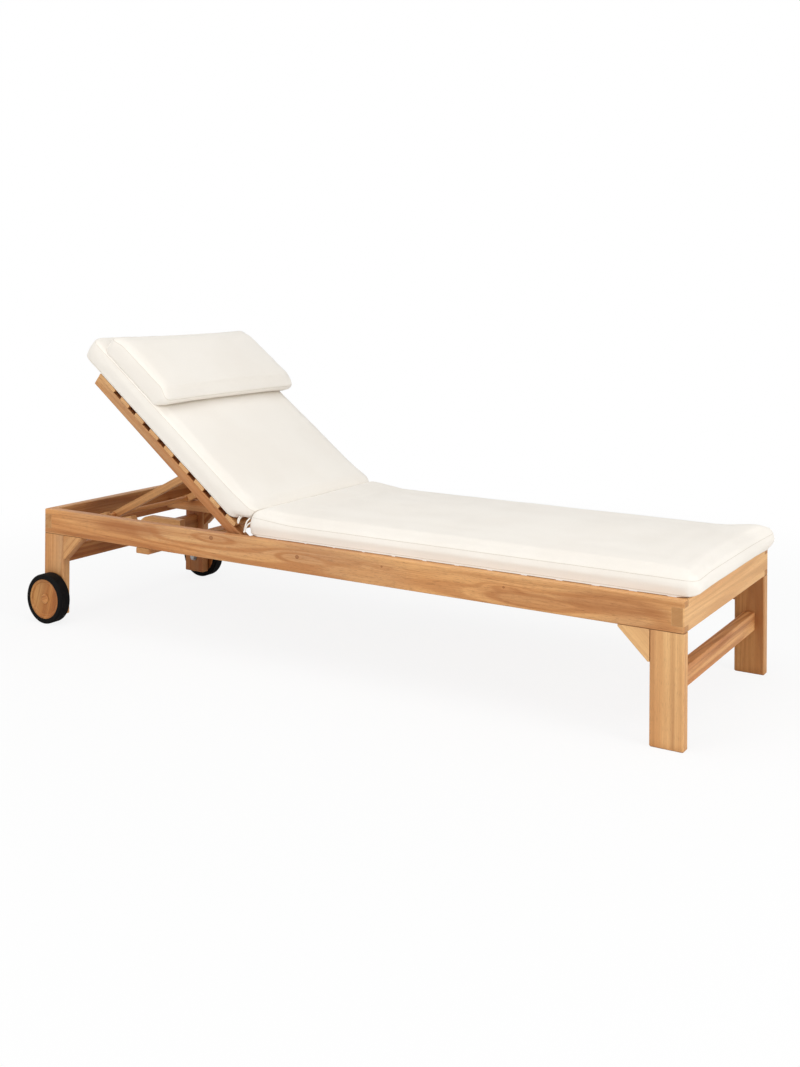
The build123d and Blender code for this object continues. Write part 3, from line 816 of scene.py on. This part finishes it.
stuffing = {
    "frames": 20,
    "pressure": 4,
    "neighbours": 4,          # points of the bag that a point of the cover goes by
    "blend": 0.002,           # distance that evens out how much each of them counts
    "ease": 0.012,            # travel over which the cover nears its cap
    "cloth": {
        "quality": 4,
        "mass": 0.4,
        "tension_stiffness": 22,
        "compression_stiffness": 12,
        "shear_stiffness": 8,
        "bending_stiffness": 0.9,
    },
}


def stuffBag(piece, pad):
    # a coarser copy of the cover swells under pressure: where its points start, and how they move
    bag = newObject(pad["name"] + "Bag", piece.data.copy())
    remesh(bag, pad["bagVoxel"])
    start = pointsOf(bag.data)[0]
    cloth = bag.modifiers.new("stuffing", "CLOTH")
    cover = cloth.settings
    for key, value in stuffing["cloth"].items():
        setattr(cover, key, value)
    cover.use_pressure = True
    cover.uniform_pressure_force = stuffing["pressure"]
    cover.effector_weights.gravity = 0
    cloth.collision_settings.use_collision = False
    for step in range(1, stuffing["frames"] + 1):
        scene.frame_set(step)
    seen = bag.evaluated_get(bpy.context.evaluated_depsgraph_get())
    swollen = pointsOf(seen.data)[0]
    old = bag.data
    bpy.data.objects.remove(bag)
    bpy.data.meshes.remove(old)
    scene.frame_set(1)
    return start, swollen - start


def puff(piece, pad):
    # stuffing: each point goes out as the swollen bag does there, easing off towards the cap
    at, normals = pointsOf(piece.data)
    before = at - normals * pad["shrink"]
    movePoints(piece.data, before)
    travel = np.full(len(at), pad["shrink"])
    start, swell = stuffBag(piece, pad)
    tree = KDTree(len(start))
    for i, point in enumerate(start.tolist()):
        tree.insert(point, i)
    tree.balance()
    for i, point in enumerate(before.tolist()):
        near = tree.find_n(point, stuffing["neighbours"])
        weights = np.array([1 / (away + stuffing["blend"]) for _, _, away in near])
        pushed = weights @ swell[[k for _, k, _ in near]] / weights.sum()
        extra = pushed @ normals[i] - pad["shrink"]
        room = pad["cap"] - pad["shrink"] if extra > 0 else pad["slack"]
        travel[i] += room * math.tanh(extra / stuffing["ease"])
    movePoints(piece.data, before + normals * travel[:, None])


def subdivide(piece):
    change = piece.modifiers.new("finer", "SUBSURF")
    change.levels = 1
    change.render_levels = 1
    bake(piece)
    piece.data.shade_smooth()


coverLook = {
    "uprightWave": 0.35,      # share of the slow waves that upright faces keep
    "fineShare": 0.3,
    "puckerDepth": 0.0009,
    "puckerReach": 0.012,     # how far from the seam the puckers go
    "baseBand": 0.03,         # height over which a base stays clear of what is under it
    "hemBand": 0.016,         # height over the base that goes out and down to the hem
    "hemStart": 0.026,        # how far in from the edge that begins
    "hemEase": 0.018,
    "hemEnds": 0.04,          # length over which it fades towards the round corners
    "hemDrop": 0.7,
}


def dress(piece, pad, floorAt):
    # slow waves of the stuffing, puckers at the seams, and a flat base
    look, seed, bottom = coverLook, pad["seed"], pad["bottom"]
    seamTop = bottom + pad["edge"]
    at, normals = pointsOf(piece.data)
    for i, ((s, t, h), (_, _, nz)) in enumerate(zip(at.tolist(), normals.tolist())):
        flat = look["uprightWave"] + (1 - look["uprightWave"]) * max(0.0, nz)
        wave = noise.noise(Vector((s * 5.5 + seed, t * 6.5, seed)))
        fine = noise.noise(Vector((s * 21 + seed, t * 19, h * 19 + seed))) * look["fineShare"]
        gap = abs(h - seamTop) if abs(nz) < 0.95 else 1
        pucker = noise.noise(Vector((s * 55, t * 55, seed * 1.7))) * look["puckerDepth"]
        pucker *= math.exp(-(gap / look["puckerReach"]) ** 2)
        at[i] += normals[i] * ((wave * flat + fine) * pad["ripple"] + pucker)
    for start, end, depth, width in pad["creases"]:
        start, run = np.array(start), np.array(end) - np.array(start)
        share = np.clip((at - start) @ run / (run @ run), 0, 1)
        away = np.linalg.norm(at - start - share[:, None] * run, axis=1)
        ends = np.sin(np.pi * np.clip(share, 0.08, 0.92))
        at -= normals * (depth * ends * np.exp(-(away / width) ** 2))[:, None]
    if floorAt:
        for i, (s, t, h) in enumerate(at.tolist()):
            if h < bottom + look["baseBand"]:
                at[i, 2] = max(h, floorAt(s, t))
    else:
        at[:, 2] = np.maximum(at[:, 2], bottom)
        # the hem lies down along the edge of what carries it, away from the round corners
        middle, reach = (pad["start"] + pad["end"]) / 2, (pad["end"] - pad["start"]) / 2
        low = np.clip(1 - (at[:, 2] - bottom) / look["hemBand"], 0, 1)
        inward = pad["half"] - np.abs(at[:, 1])
        outer = np.clip((look["hemStart"] - inward) / look["hemEase"], 0, 1)
        straight = np.clip((reach - np.abs(at[:, 0] - middle)) / look["hemEnds"], 0, 1)
        share = low * outer * straight
        at[:, 1] += np.sign(at[:, 1]) * np.maximum(inward + pad["hem"], 0) * share
        at[:, 2] -= (at[:, 2] - bottom) * look["hemDrop"] * share
    movePoints(piece.data, at)


def makeCushion(pad, matrix, warp, floorAt=None):
    piece = rawCushion(pad, warp, floorAt)
    remesh(piece, pad["voxel"])
    puff(piece, pad)
    subdivide(piece)
    dress(piece, pad, floorAt)
    piece.data.transform(matrix)
    piece.data.update()
    piece.data.materials.append(canvasCloth)
    return piece


def fade(distance, reach):
    # 1 at no distance, easing to 0 at the reach
    share = max(0.0, 1 - max(distance, 0) / reach)
    return share * share * (3 - 2 * share)


seatShape = {
    "headRise": 0.27,         # share that the end under the back cushion stands higher
    "headReach": 0.17,
    "farCorner": (0.017, 0.26),     # far foot corner: out of the frame, and share higher
    "nearCorner": (0.004, 0.0),
    "cornerReach": 0.13,
    "outFrom": 0.004,         # heights between which the corners begin to reach out
    "outOver": 0.02,
}


def seatWarp(s, t, h):
    h *= 1 + seatShape["headRise"] * fade(s - seatPad["start"], seatShape["headReach"])
    for side, key in ((1, "farCorner"), (-1, "nearCorner")):
        away = math.hypot(seatPad["end"] - s, t - side * seatPad["half"])
        near = fade(away, seatShape["cornerReach"])
        out, rise = seatShape[key]
        s += out * near * min(1, max(0, h - seatShape["outFrom"]) / seatShape["outOver"])
        h *= 1 + rise * near
    return s, t, h


backShape = {
    # distance along the back at which the lower end stands, by height out of the back
    "heights": (0.026, 0.041, 0.069, 0.092, 0.110),
    "starts": (0.068, 0.055, 0.022, 0.020, 0.032),
    "reach": 0.16,
    "lowerSwell": 0.10,       # share that the lower end is fuller than the middle
    "farDrop": 0.14,          # the far top corner lies flatter, under the pillow
    "farFrom": 0.45,          # share of the half width at which that begins
    "swellReach": 0.12,
}


def noseStart(h):
    heights, starts = backShape["heights"], backShape["starts"]
    if h <= heights[0]:
        return starts[0]
    for i in range(len(heights) - 1):
        if h <= heights[i + 1]:
            share = (h - heights[i]) / (heights[i + 1] - heights[i])
            share = share * share * (3 - 2 * share)
            return starts[i] + (starts[i + 1] - starts[i]) * share
    return starts[-1]


def backWarp(s, t, h):
    # the lower end leans over the seat cushion
    swell = 1 + backShape["lowerSwell"] * fade(s - backPad["start"], backShape["swellReach"])
    farSide = min(1, max(0, backShape["farFrom"] - t / backPad["half"]))
    swell -= backShape["farDrop"] * farSide * fade(backPad["end"] - s, backShape["swellReach"])
    h = backPad["bottom"] + (h - backPad["bottom"]) * swell
    near = fade(s - backPad["start"], backShape["reach"])
    return s + (noseStart(h) - backPad["start"]) * near, t, h


pillowShape = {
    "frontDrop": 0.22,        # the lower end is rounded down over its own base
    "frontTuck": 0.025,
    "frontReach": 0.050,
    "frontHeight": 0.060,
    "topDrop": 0.15,
    "topReach": 0.060,
    "aside": -0.009,          # it lies a little nearer to the left-hand edge
    "sink": 0.008,            # how far its base may lie below its own bottom
}


def pillowWarp(s, t, h):
    above = h - pillowPad["bottom"]
    front = fade(s - pillowPad["start"], pillowShape["frontReach"])
    top = fade(pillowPad["end"] - s, pillowShape["topReach"])
    s += pillowShape["frontTuck"] * front * fade(above, pillowShape["frontHeight"])
    if above > 0:
        h -= above * (pillowShape["frontDrop"] * front + pillowShape["topDrop"] * top)
    return s, t + pillowShape["aside"], h


def pushClear(piece, neighbour, reach=0.03, gap=0.0006):
    # a soft piece gives way where it presses on the one beside it
    tree = BVHTree.FromObject(neighbour, bpy.context.evaluated_depsgraph_get())
    at, _ = pointsOf(piece.data)
    moved = 0
    for i, point in enumerate(at.tolist()):
        hit, normal, _, away = tree.find_nearest(point, reach)
        if hit is not None and (Vector(point) - hit).dot(normal) < gap:
            at[i] = hit + normal * gap
            moved += 1
    movePoints(piece.data, at)
    return moved


seatCushion = makeCushion(seatPad, seatPlace, seatWarp)
print("seat cushion stuffed:", len(seatCushion.data.vertices), "points")
backCushion = makeCushion(backPad, backPlace, backWarp)
pressed = pushClear(backCushion, seatCushion)
print("back cushion stuffed:", len(backCushion.data.vertices), "points,",
      pressed, "on the seat cushion")

backTree = BVHTree.FromObject(backCushion, bpy.context.evaluated_depsgraph_get())


def pillowBase(s, t):
    # the pillow rests on the real top of the back cushion
    lowest = pillowPad["bottom"] - pillowShape["sink"]
    hit = backTree.ray_cast(backPlace @ Vector((s, t, 0.3)), -outOfBack)[0]
    if hit is None:
        return lowest
    return max((hit - hinge).dot(outOfBack) + 0.0005, lowest)


headPillow = makeCushion(pillowPad, backPlace, pillowWarp, pillowBase)
print("head pillow stuffed:", len(headPillow.data.vertices), "points")

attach(seatCushion, "frame")
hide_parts("seat_cushion")
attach(backCushion, "backrest")
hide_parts("back_cushion")
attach(headPillow, "backrest")
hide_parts("head_pillow")

seamLook = {
    "radius": 0.0008,
    "sides": 6,
    "step": 0.006,            # between its points
    "sink": 0.0003,
    "baseHeight": 0.004,      # of the lower seam, above the cushion's base
}


def seamAround(pad, cushion, matrix, warp, label, height, body):
    # sewn line around the cushion at one height, laid on the finished surface
    tree = BVHTree.FromObject(cushion, bpy.context.evaluated_depsgraph_get())
    guide = outline(pad, -0.002)
    points = []
    for (s, t), (s2, t2) in zip(guide, guide[1:] + guide[:1]):
        steps = max(1, round(math.hypot(s2 - s, t2 - t) / seamLook["step"]))
        for k in range(steps):
            a, b = s + (s2 - s) * k / steps, t + (t2 - t) * k / steps
            at = matrix @ Vector(warp(a, b, pad["bottom"] + height))
            hit, normal, _, _ = tree.find_nearest(at)
            if hit is not None:
                points.append((hit - normal * seamLook["sink"], normal))
    bm = bmesh.new()
    rings = []
    for i, (at, normal) in enumerate(points):
        run = (points[(i + 1) % len(points)][0] - points[i - 1][0]).normalized()
        side = run.cross(normal).normalized()
        ring = []
        for k in range(seamLook["sides"]):
            angle = 2 * math.pi * k / seamLook["sides"]
            out = normal * math.sin(angle) + side * math.cos(angle)
            ring.append(bm.verts.new(at + out * seamLook["radius"]))
        rings.append(ring)
    joinRings(bm, rings, closed=True)
    seam = pieceFrom(bm, pad["name"] + label)
    seam.data.shade_smooth()
    seam.data.materials.append(seamThread)
    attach(seam, body)
    return seam


backSeams = []
for pad, cushion, matrix, warp, body in (
    (seatPad, seatCushion, seatPlace, seatWarp, "frame"),
    (backPad, backCushion, backPlace, backWarp, "backrest"),
    (pillowPad, headPillow, backPlace, pillowWarp, "backrest"),
):
    for label, height in (("TopSeam", pad["edge"]), ("BaseSeam", seamLook["baseHeight"])):
        if label == "BaseSeam" and pad is pillowPad:      # out of sight on the back cushion
            continue
        seam = seamAround(pad, cushion, matrix, warp, label, height, body)
        if pad is backPad:
            backSeams.append(seam)
print("seams sewn")

tieLook = {
    "width": 0.0042,
    "thickness": 0.0008,
    "steps": 7,               # points from one given point to the next
    "knotRadius": 0.00231,
    "knotTurns": 3,
    "knotSteps": 12,          # points around a turn, and around its cord
    "knotSides": 6,
    "knotCord": (0.0014, 0.0019),   # half the cord's width and height
}
# around the tape: places across it and out of it, in half widths and half thicknesses
tapeSection = ((-1, -1), (0, -1.5), (1, -1), (1, 1), (0, 0.5), (-1, 1))
# tape loops at the cushions' corners, by their right-hand ones: points in metres
tieShapes = {
    "BackTie": ("backrest", (
        (-0.2675, -0.2960, 0.3830), (-0.2672, -0.3030, 0.3765), (-0.2668, -0.3062, 0.3715),
        (-0.2660, -0.3072, 0.3660), (-0.2645, -0.3072, 0.3652), (-0.2632, -0.3060, 0.3705),
        (-0.2625, -0.3030, 0.3760), (-0.2618, -0.2960, 0.3820),
    ), None),
    "SeatTie": ("frame", (
        (-0.2315, -0.2960, 0.3800), (-0.2363, -0.3020, 0.3740), (-0.2395, -0.3055, 0.3640),
        (-0.2417, -0.3070, 0.3530), (-0.2420, -0.3076, 0.3455), (-0.2395, -0.3074, 0.3490),
        (-0.2371, -0.3060, 0.3580), (-0.2335, -0.3010, 0.3650), (-0.2285, -0.2950, 0.3680),
    ), (-0.2423, -0.3078, 0.3440)),
}


def smoothPath(points, steps):
    # points of a curve that runs through the ones given
    found = []
    points = [Vector(point) for point in points]
    ends = [points[0] * 2 - points[1], *points, points[-1] * 2 - points[-2]]
    for a, b, c, d in zip(ends, ends[1:], ends[2:], ends[3:]):
        for k in range(steps):
            u = k / steps
            found.append(0.5 * (2 * b + (c - a) * u + (2 * a - 5 * b + 4 * c - d) * u * u
                                + (3 * b - a - 3 * c + d) * u ** 3))
    found.append(points[-1])
    return found


def knotTurn(bm, at, turn):
    # one closed turn of cord, each set at another angle
    spin = Quaternion((1, 0.3 * turn, 0.4), 1.1 * turn).to_matrix().to_4x4()
    matrix = Matrix.Translation(at) @ spin
    halfWidth, halfHeight = tieLook["knotCord"]
    rings = []
    for k in range(tieLook["knotSteps"]):
        angle = 2 * math.pi * k / tieLook["knotSteps"]
        out = Vector((math.cos(angle), math.sin(angle), 0))
        ring = []
        for q in range(tieLook["knotSides"]):
            around = 2 * math.pi * q / tieLook["knotSides"]
            point = out * (tieLook["knotRadius"] + math.cos(around) * halfWidth)
            point.z = math.sin(around) * halfHeight
            ring.append(bm.verts.new(matrix @ point))
        rings.append(ring)
    joinRings(bm, rings, closed=True)


def tapeLoop(name, body, points, knotAt):
    # narrow cotton tape, and a knot of three turns where one is given
    bm = bmesh.new()
    path = smoothPath(points, tieLook["steps"])
    wide = Vector((0.35, 0, 1)).normalized()
    rows = []
    for i, at in enumerate(path):
        run = (path[min(i + 1, len(path) - 1)] - path[max(i - 1, 0)]).normalized()
        side = run.cross(Vector((0, 1, 0)))
        side = (side if side.length > 0.2 else run.cross(wide)).normalized()
        out = side.cross(run).normalized()
        across, through = side * tieLook["width"] / 2, out * tieLook["thickness"] / 2
        rows.append([bm.verts.new(at + across * a + through * b) for a, b in tapeSection])
    joinRings(bm, rows)
    bm.faces.new(rows[0])
    bm.faces.new(list(reversed(rows[-1])))
    if knotAt:
        for turn in range(tieLook["knotTurns"]):
            knotTurn(bm, knotAt, turn)
    bmesh.ops.recalc_face_normals(bm, faces=bm.faces)
    tie = pieceFrom(bm, name)
    tie.data.shade_smooth()
    tie.data.materials.append(canvasCloth)
    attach(tie, body)
    return tie


backTies = []
for label, (body, points, knotAt) in tieShapes.items():
    for side, flip in (("right", 1), ("left", -1)):
        mirrored = [(x, y * flip, z) for x, y, z in points]
        knotPlace = Vector(knotAt) * Vector((1, flip, 1)) if knotAt else None
        tie = tapeLoop(side + label, body, mirrored, knotPlace)
        if body == "backrest":
            backTies.append(tie)
print("ties sewn")

for piece in (backCushion, *backSeams, *backTies):
    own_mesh(piece)
